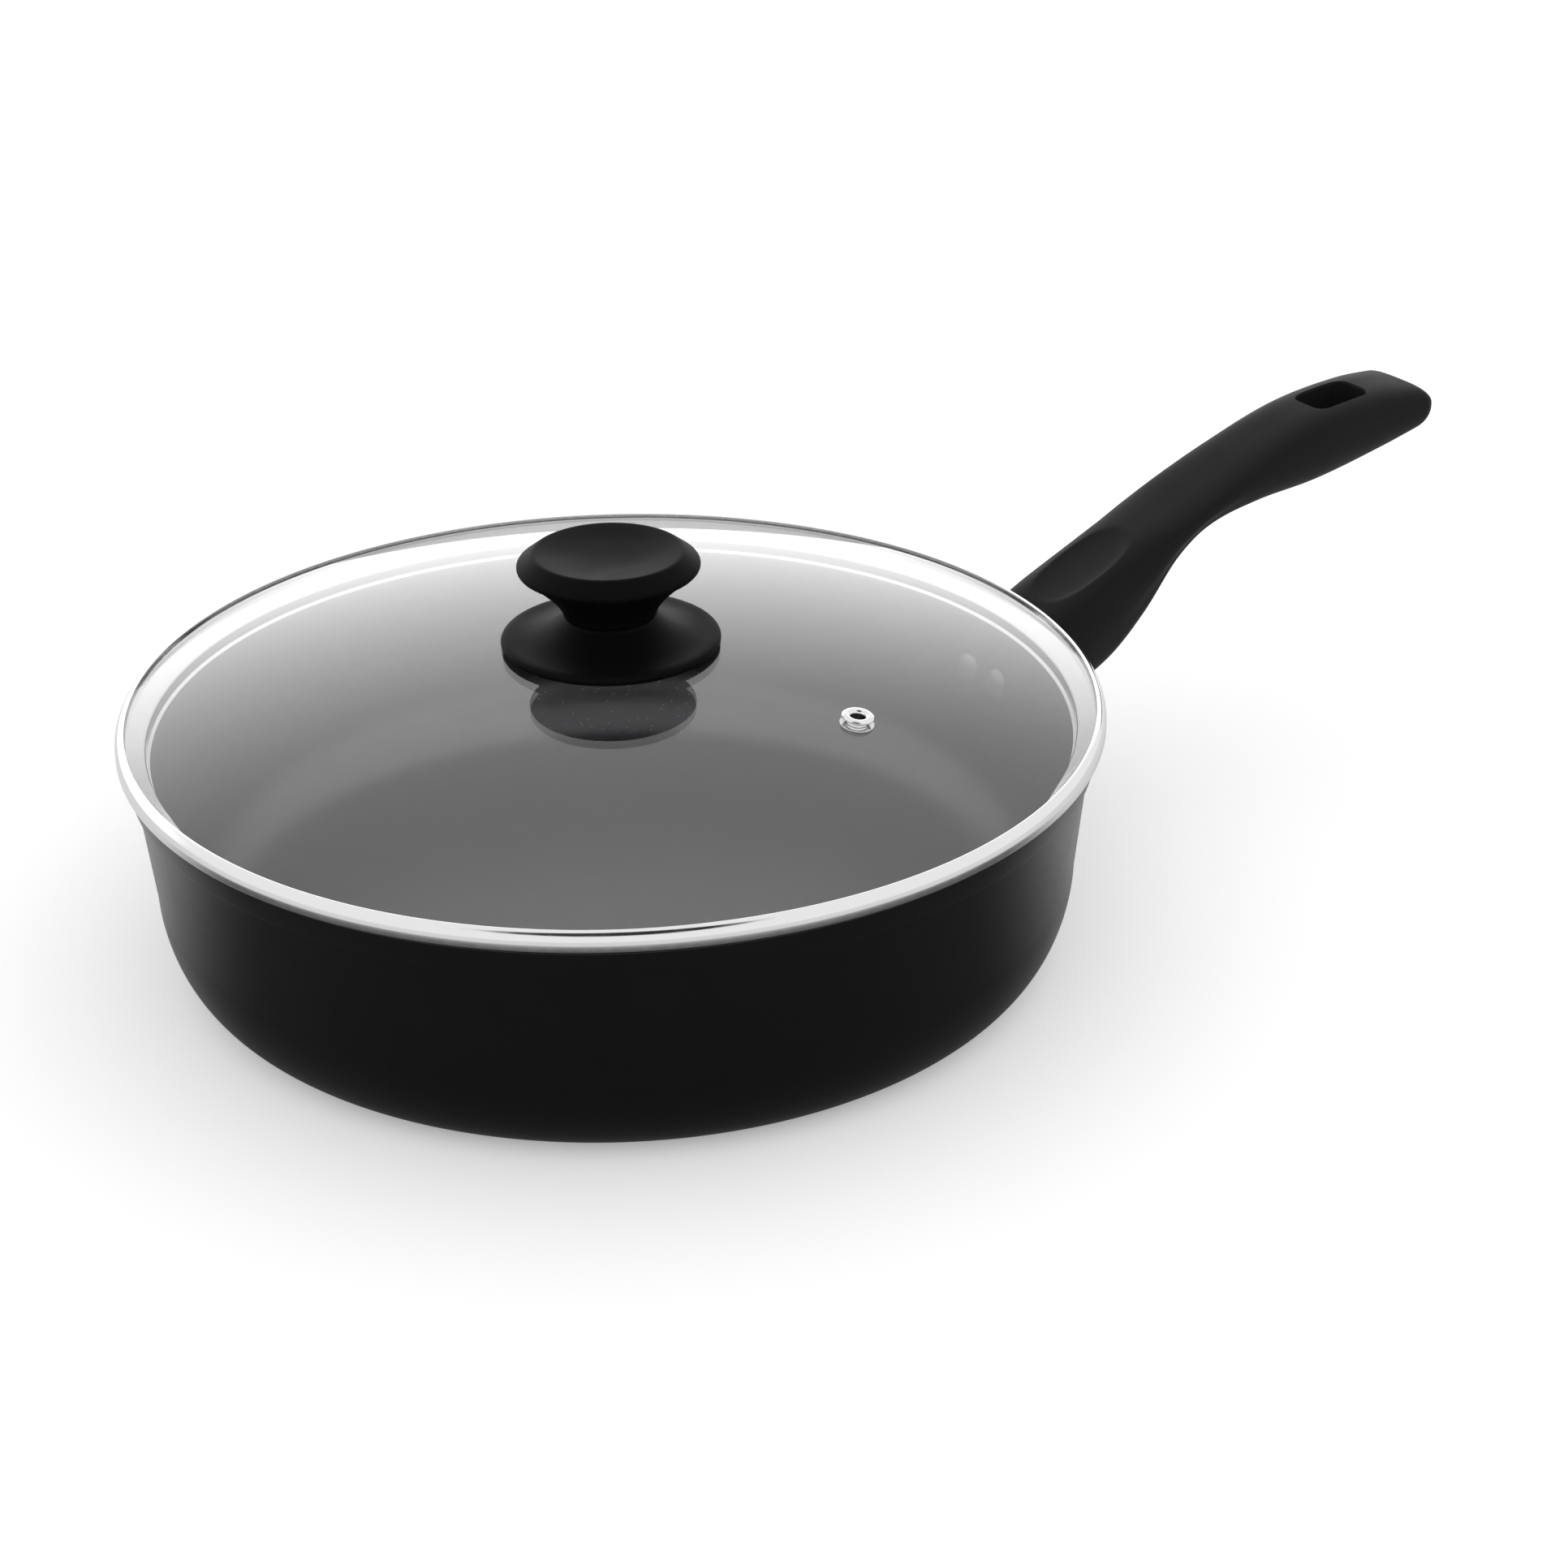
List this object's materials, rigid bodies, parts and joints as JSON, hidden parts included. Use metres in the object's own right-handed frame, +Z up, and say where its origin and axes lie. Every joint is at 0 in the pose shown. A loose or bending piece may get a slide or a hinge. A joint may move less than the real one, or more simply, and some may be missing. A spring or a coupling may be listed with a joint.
{
  "type": "saute pan with lid",
  "caption": "Round deep pan with a black coated shell, a long moulded handle with a hanging hole, and a domed glass lid with a steel band, a steam vent and a black knob.",
  "frame": {"origin": "centre of the pan's base, on the surface that it stands on", "axes": "+X from the pan's axis along the handle, +Z up along the pan's axis"},
  "size_m": [0.4568, 0.29, 0.1226],
  "materials": {
    "coated_aluminium": "satin black non-stick coating on aluminium",
    "soft_touch_black": "fine matt soft-touch coat on moulded phenolic",
    "tempered_glass": "clear polished",
    "stainless_steel": "polished",
    "steel": "zinc plated",
    "rivet_aluminium": "coated with the pan",
    "brass": "turned",
    "silicone": "matt"
  },
  "bodies": {
    "pan": {"pan_body": "coated_aluminium", "handle_bracket": "steel", "bracket_rivet_left": "rivet_aluminium", "bracket_rivet_right": "rivet_aluminium", "handle_grip": "soft_touch_black", "handle_washer": "steel", "handle_screw": "steel"},
    "lid": {"lid_glass": "tempered_glass", "lid_rim": "stainless_steel", "vent_eyelet": "stainless_steel", "vent_washer": "stainless_steel", "knob_base": "soft_touch_black", "knob_grip": "soft_touch_black", "knob_insert": "brass", "knob_gasket": "silicone", "knob_washer": "steel", "knob_screw": "steel"}
  },
  "joints": [
    {"name": "lid_lift", "type": "slide", "parent": "pan", "child": "lid", "axis": [0, 0, 1], "range_m": [0, 0.1]}
  ]
}
